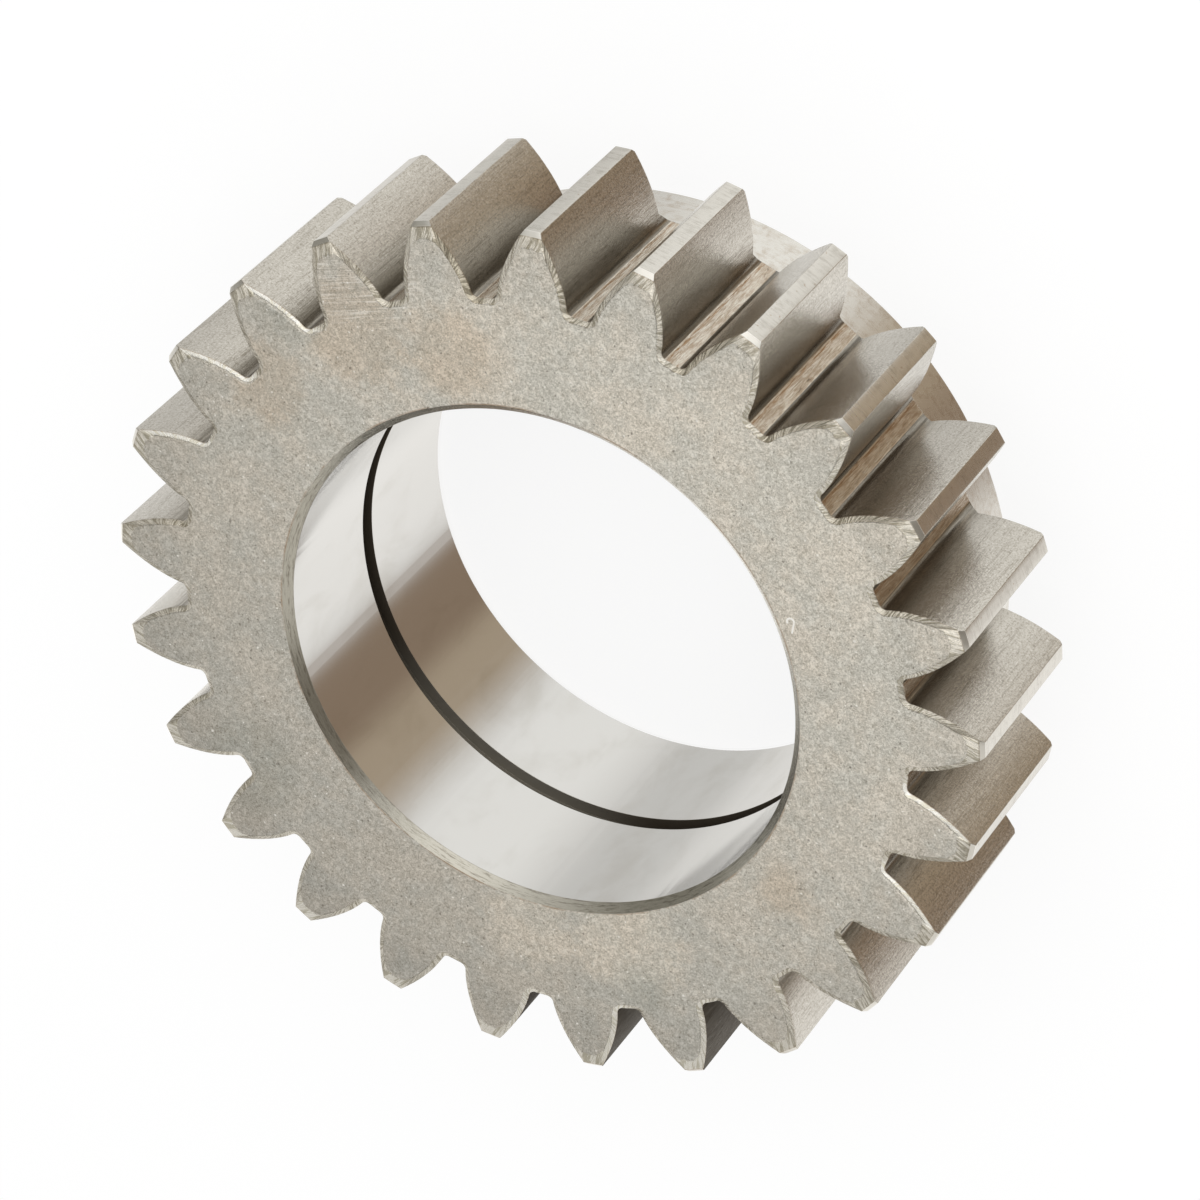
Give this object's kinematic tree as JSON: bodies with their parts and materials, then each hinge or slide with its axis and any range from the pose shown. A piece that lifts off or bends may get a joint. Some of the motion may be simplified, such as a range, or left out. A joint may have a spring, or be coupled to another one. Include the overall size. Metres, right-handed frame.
{
  "type": "reverse gear",
  "caption": "Straight-cut spur gear with a long plain collar on its back, deburred tooth ends and a ground bore with a ring groove for two needle bearings.",
  "frame": {"origin": "centre of the collar's end face, on the axis of the bore; the gear stands on that face", "axes": "+Z along the axis, from the collar's end to the deburred front face; +X through the middle of one tooth"},
  "size_m": [0.1081, 0.1082, 0.0376],
  "materials": {
    "gear_steel": "case-hardened steel: matt grey front face, satin hobbed flanks, bright deburred edges and a polished bore"
  },
  "bodies": {
    "root": {"reverse_gear": "gear_steel"}
  },
  "joints": []
}
